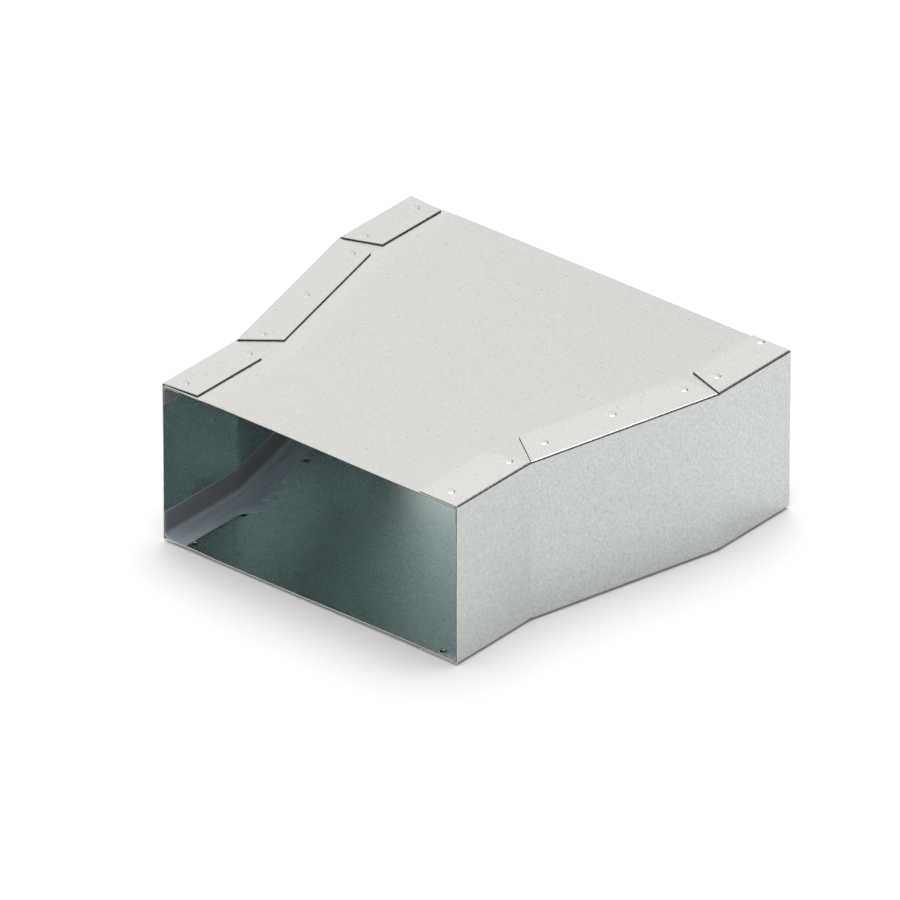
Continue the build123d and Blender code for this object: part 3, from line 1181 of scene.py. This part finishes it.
def grain_group():
    """Node group: mottling, spangle, broad clouds and scattered specks of a zinc coat, from coordinates."""
    found = bpy.data.node_groups.get("zinc_grain")
    if found:
        return found
    tree = bpy.data.node_groups.new("zinc_grain", "ShaderNodeTree")
    tree.interface.new_socket("Coordinates", in_out="INPUT", socket_type="NodeSocketVector")
    for name in ("Mottle", "Spangle", "Clouds", "Specks"):
        tree.interface.new_socket(name, in_out="OUTPUT", socket_type="NodeSocketFloat")
    source = add_node(tree, "NodeGroupInput", (-900, 0))
    result = add_node(tree, "NodeGroupOutput", (500, 0))
    place = source.outputs["Coordinates"]

    rolled = add_node(tree, "ShaderNodeMapping", (-700, 200), Scale=ROLLED_OUT)
    tree.links.new(place, rolled.inputs["Vector"])
    mottle = add_noise(tree, (-500, 200), rolled.outputs["Vector"], MOTTLE_FINENESS, 3.0)
    spangle = add_noise(tree, (-500, 450), place, SPANGLE_FINENESS, 3.0)
    clouds = add_noise(tree, (-500, -50), place, CLOUD_FINENESS, 3.0)

    dots = add_node(tree, "ShaderNodeTexVoronoi", (-500, -300), Scale=SPECK_FINENESS, Randomness=1.0)
    tree.links.new(place, dots.inputs["Vector"])
    near = map_range(tree, (-250, -300), dots.outputs["Distance"], *SPECK_SIZE, 1.0, 0.0)
    parted = add_node(tree, "ShaderNodeSeparateColor", (-250, -520))
    tree.links.new(dots.outputs["Color"], parted.inputs["Color"])
    chosen = map_range(tree, (-50, -520), parted.outputs[0], *SPECK_CHOICE)
    specks = add_math(tree, (150, -350), "MULTIPLY", near, chosen)

    tree.links.new(mottle, result.inputs["Mottle"])
    tree.links.new(spangle, result.inputs["Spangle"])
    tree.links.new(clouds, result.inputs["Clouds"])
    tree.links.new(specks, result.inputs["Specks"])
    return tree


def grained(tree):
    """The zinc grain placed in a material on Object coordinates."""
    place = add_node(tree, "ShaderNodeTexCoord", (-1300, 0))
    grain = add_node(tree, "ShaderNodeGroup", (-1050, 0), node_tree=grain_group())
    tree.links.new(place.outputs["Object"], grain.inputs["Coordinates"])
    return grain.outputs


def satin_zinc(tree, finish):
    """Satin zinc coat: mottled grain, broad clouds and small dark specks, painted shade on the inner face
    and a painted sheen on the top flanges.
    """
    shader = tree.nodes["Principled BSDF"]
    shader.inputs["Metallic"].default_value = 1.0
    grain = grained(tree)
    depth = attribute(tree, (-1050, 500), "sheet_depth")
    clouded = mix_colour(tree, (-700, 200), grain["Clouds"], finish.zinc_dark, finish.zinc_light)
    mottled = mix_colour(tree, (-700, 0), grain["Mottle"], finish.zinc_dark, finish.zinc_light)
    blend = mix_colour(tree, (-500, 100), MOTTLE_SHARE, clouded, mottled)
    shown = map_range(tree, (-700, -300), depth, out_low=1.0, out_high=SPECKS_INSIDE)
    specks = add_math(tree, (-500, -300), "MULTIPLY", grain["Specks"], shown)
    specked = mix_colour(tree, (-350, 100), specks, blend, finish.zinc_speck)
    punched = attribute(tree, (-350, 400), "punched")
    marked = mix_colour(tree, (-150, 200), punched, specked, finish.punch_mark)

    # Painted sheen: the top flanges' colour is scaled up by their mask.
    painted_sheen_share = attribute(tree, (-350, 600), "painted_sheen")
    lighter = map_range(tree, (-150, 600), painted_sheen_share, out_low=1.0, out_high=2.0)
    upright = attribute(tree, (-350, 800), "upright")
    swing = map_range(
        tree, (-350, 1000), grain["Spangle"], out_low=-SPANGLE_SWING, out_high=SPANGLE_SWING)
    gain = add_math(tree, (-150, 850), "MULTIPLY_ADD", upright, swing, lighter)
    painted_sheen = add_node(tree, "ShaderNodeVectorMath", (0, 450), operation="SCALE")
    tree.links.new(marked, painted_sheen.inputs[0])
    tree.links.new(gain, painted_sheen.inputs["Scale"])
    # Painted shade: the inner face's colour is multiplied by the inside tint.
    colour = mix_colour(tree, (50, 300), depth, painted_sheen.outputs[0], finish.inside_painted_shade, "MULTIPLY")
    tree.links.new(colour, shader.inputs["Base Color"])

    roughness = map_range(tree, (-500, -150), grain["Mottle"], 0.0, 1.0, *ZINC_ROUGHNESS)
    tree.links.new(roughness, shader.inputs["Roughness"])
    strength = map_range(tree, (-500, -500), depth, 0.0, 1.0, *GRAIN_STRENGTH)
    add_bump(tree, shader, grain["Mottle"], strength, GRAIN_HEIGHT)


def sheared_edge(tree, finish):
    """Cut edge: burnished towards the outer face and broken towards the inner one; the near-black break is
    partly painted shade, and reaches further on the top flanges as painted shade under their free edges.
    """
    shader = tree.nodes["Principled BSDF"]
    grain = grained(tree)
    depth = attribute(tree, (-1050, 300), "sheet_depth")
    flange = attribute(tree, (-1050, 550), "flange")
    # Painted shade: the dark break reaches further up the cut edges of the top flanges.
    reached = add_math(tree, (-850, 400), "MULTIPLY_ADD", flange, FLANGE_PAINTED_SHADE, depth)
    broken_and_shaded = map_range(tree, (-650, 400), reached, *BREAK_START)
    sheared = mix_colour(tree, (-450, 300), broken_and_shaded, finish.shear_bright, finish.shear_dark_and_shade)
    colour = mix_colour(tree, (-300, 200), grain["Specks"], sheared, finish.shear_dark_and_shade)
    tree.links.new(colour, shader.inputs["Base Color"])
    metal = map_range(tree, (-500, 100), broken_and_shaded, 0.0, 1.0, *EDGE_METAL)
    tree.links.new(metal, shader.inputs["Metallic"])
    roughness = map_range(tree, (-500, -100), broken_and_shaded, 0.0, 1.0, *EDGE_ROUGHNESS)
    tree.links.new(roughness, shader.inputs["Roughness"])
    add_bump(tree, shader, grain["Mottle"], EDGE_STRENGTH, EDGE_HEIGHT)


def brushed_sealant(tree, finish):
    """Grey sealant with bristle marks that follow the brush along the corner, darker and browner on the
    walls, with a painted highlight along its edge there.
    """
    shader = tree.nodes["Principled BSDF"]
    shader.inputs["Specular IOR Level"].default_value = PASTE_GLOSS
    brush = add_node(tree, "ShaderNodeUVMap", (-1300, 0), uv_map="brush")
    drawn = add_node(tree, "ShaderNodeMapping", (-1100, 0), Scale=BRISTLE_FINENESS)
    tree.links.new(brush.outputs["UV"], drawn.inputs["Vector"])
    bristles = add_noise(tree, (-900, 0), drawn.outputs["Vector"], 1.0, 4.0, *BRISTLE_RANGE)
    thick = mix_colour(tree, (-500, 150), bristles, finish.paste_dark, finish.paste_light)
    parts = add_node(tree, "ShaderNodeSeparateXYZ", (-900, 400))
    tree.links.new(brush.outputs["UV"], parts.inputs["Vector"])
    on_wall = map_range(tree, (-700, 400), parts.outputs["Y"], *WALL_START, 1.0, 0.0)
    # The coat is made darker and browner on the walls.
    dulled = mix_colour(tree, (-300, 250), on_wall, thick, finish.wall_tint, "MULTIPLY")
    # Painted highlight along the coat's edge on the wall.
    highlight_border = attribute(tree, (-500, 550), "highlight_border")
    edge = map_range(tree, (-300, 550), highlight_border, *HIGHLIGHT_START, 0.0, HIGHLIGHT_SHARE)
    colour = mix_colour(tree, (-100, 250), edge, dulled, finish.paste_edge_highlight)
    tree.links.new(colour, shader.inputs["Base Color"])
    roughness = map_range(tree, (-400, -100), bristles, 0.0, 1.0, *PASTE_ROUGHNESS)
    tree.links.new(roughness, shader.inputs["Roughness"])
    add_bump(tree, shader, bristles, BRISTLE_STRENGTH, BRISTLE_HEIGHT)


def pale_floor(tree, studio):
    """Matt white floor."""
    shader = tree.nodes["Principled BSDF"]
    shader.inputs["Base Color"].default_value = rgba(studio.floor_colour)
    shader.inputs["Roughness"].default_value = 0.9
    shader.inputs["Specular IOR Level"].default_value = 0.1


# Studio

# Where the two lesser screens stand, as directions from the object
HORIZON_SCREEN = Vector((-0.35, 0.93, 0.08))
LEFT_SCREEN = Vector((-0.75, -0.60, 0.28))


def studio_floor(studio):
    """A wide flat floor under the lowest press joints."""
    bm = bmesh.new()
    bmesh.ops.create_grid(bm, x_segments=1, y_segments=1, size=studio.floor_size / 2)
    ground = add_object(bm, "studio_floor", [material("pale_floor", pale_floor, studio)])


def studio_room(studio):
    """A dim room with a bright ceiling and bright screens all round, save on the far right."""
    world = bpy.data.worlds.new("studio_room")
    world.use_nodes = True
    bpy.context.scene.world = world
    tree = world.node_tree
    view = add_node(tree, "ShaderNodeTexCoord", (-1100, 0))
    front = Vector((sin(studio.azimuth), -cos(studio.azimuth), 0))
    back = Matrix.Rotation(studio.back_turn, 3, "Z") @ -front
    up = Vector((0, 0, sin(studio.elevation)))
    # Each screen's direction, the cosines where it begins and where it is full, and its brightness
    screens = (
        (up + back * cos(studio.elevation), 0.78, 1.00, studio.back),
        (up + front * cos(studio.elevation), 0.68, 0.93, studio.front),
        (Vector((0, 0, 1)), 0.74, 0.95, studio.ceiling),
        (HORIZON_SCREEN, 0.82, 0.98, studio.horizon),
        (LEFT_SCREEN, 0.30, 0.85, studio.left),
    )
    brightest = None
    for row, (direction, edge, core, brightness) in enumerate(screens):
        level = -200 * row
        toward = add_node(tree, "ShaderNodeVectorMath", (-900, level), operation="DOT_PRODUCT")
        tree.links.new(view.outputs["Generated"], toward.inputs[0])
        toward.inputs[1].default_value = direction
        lit = map_range(tree, (-700, level), toward.outputs["Value"], edge, core, studio.dim, brightness)
        lit.node.interpolation_type = "SMOOTHSTEP"
        if brightest is None:
            brightest = lit
        else:
            brightest = add_math(tree, (-500, level), "MAXIMUM", brightest, lit)
    background = tree.nodes["Background"]
    background.inputs["Color"].default_value = rgba(studio.light_colour)
    tree.links.new(brightest, background.inputs["Strength"])


def studio_key(studio):
    """A large softbox overhead that looks at the object."""
    light = bpy.data.lights.new("softbox", "AREA")
    light.energy = studio.key_power
    light.color = studio.light_colour
    light.size = studio.key_size
    lamp = bpy.data.objects.new("softbox", light)
    place = Vector(studio.key_place)
    lamp.location = place
    lamp.rotation_euler = (Vector(studio.aim) - place).to_track_quat("-Z", "Y").to_euler()
    bpy.context.scene.collection.objects.link(lamp)


def studio_camera(studio):
    """A long lens at the photograph's viewing angle."""
    lens = bpy.data.cameras.new("camera")
    lens.lens = studio.lens
    lens.clip_end = 2 * studio.distance
    eye = bpy.data.objects.new("camera", lens)
    back = Vector((
        sin(studio.azimuth) * cos(studio.elevation),
        -cos(studio.azimuth) * cos(studio.elevation),
        sin(studio.elevation),
    ))
    eye.location = Vector(studio.aim) + back * studio.distance
    eye.rotation_euler = (pi / 2 - studio.elevation, 0, studio.azimuth)
    bpy.context.scene.collection.objects.link(eye)
    bpy.context.scene.camera = eye


class REDUCER_OT_studio(bpy.types.Operator):
    """Make the floor, the light and the camera"""
    bl_idname = "reducer.studio"
    bl_label = "Studio"

    def execute(self, context):
        studio = context.scene.reducer_studio
        studio_floor(studio)
        studio_room(studio)
        studio_key(studio)
        studio_camera(studio)
        context.scene.view_settings.view_transform = "Standard"
        return {"FINISHED"}


# Sidebar panel and registering

class REDUCER_PT_sidebar(bpy.types.Panel):
    """Lists the reducer's pieces and their settings"""
    bl_idname = "REDUCER_PT_sidebar"
    bl_label = "Duct reducer"
    bl_space_type = "VIEW_3D"
    bl_region_type = "UI"
    bl_category = "Reducer"

    def draw(self, context):
        for operator in OPERATORS:
            self.layout.operator(operator.bl_idname)
        for name in SETTINGS:
            settings = getattr(context.scene, name)
            column = self.layout.column()
            for key in settings.__annotations__:
                column.prop(settings, key)


SETTINGS = {
    "reducer_sheets": ReducerSheets,
    "reducer_joints": ReducerJoints,
    "reducer_sealant": ReducerSealant,
    "reducer_finish": ReducerFinish,
    "reducer_studio": ReducerStudio,
}
OPERATORS = (
    REDUCER_OT_flat_panels,
    REDUCER_OT_side_panels,
    REDUCER_OT_sealant_coats,
    REDUCER_OT_studio,
)


def register():
    """Registers the settings, the operators and the panel."""
    for name, settings in SETTINGS.items():
        bpy.utils.register_class(settings)
        setattr(bpy.types.Scene, name, PointerProperty(type=settings))
    for operator in OPERATORS:
        bpy.utils.register_class(operator)
    bpy.utils.register_class(REDUCER_PT_sidebar)


def unregister():
    """Takes everything back that register adds."""
    bpy.utils.unregister_class(REDUCER_PT_sidebar)
    for operator in reversed(OPERATORS):
        bpy.utils.unregister_class(operator)
    for name, settings in SETTINGS.items():
        delattr(bpy.types.Scene, name)
        bpy.utils.unregister_class(settings)


def main():
    """Makes the reducer and its studio."""
    register()
    bpy.ops.reducer.flat_panels()
    bpy.ops.reducer.side_panels()
    bpy.ops.reducer.sealant_coats()
    bpy.ops.reducer.studio()


if __name__ == "__main__":
    main()
